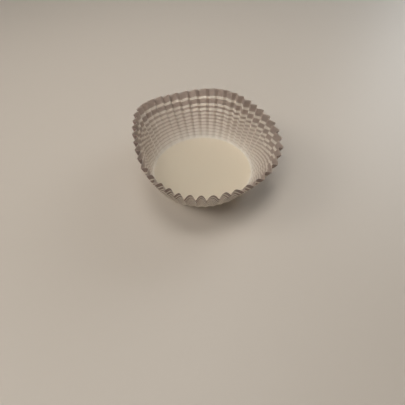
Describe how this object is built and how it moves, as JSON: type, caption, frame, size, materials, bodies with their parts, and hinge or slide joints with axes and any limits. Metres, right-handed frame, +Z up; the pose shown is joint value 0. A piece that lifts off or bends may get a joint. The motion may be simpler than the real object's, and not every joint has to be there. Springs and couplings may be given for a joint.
{
  "type": "fluted paper baking cup",
  "caption": "Fluted paper baking cup: flat round base with a pleated wall that leans outwards to a slightly pinched oval mouth. Pressed from a round sheet.",
  "frame": {"origin": "centre of the underside of the base, where the cup rests", "axes": "+Z up out of the mouth, +Y to the back, where the wall leans out furthest and the rim is lowest, +X to the right"},
  "size_m": [0.0681, 0.0849, 0.0269],
  "materials": {
    "printed_paper": "thin greaseproof paper, matt, printed outside with red-brown rings that show through paler inside"
  },
  "bodies": {
    "root": {"baking_cup": "printed_paper"}
  },
  "joints": []
}
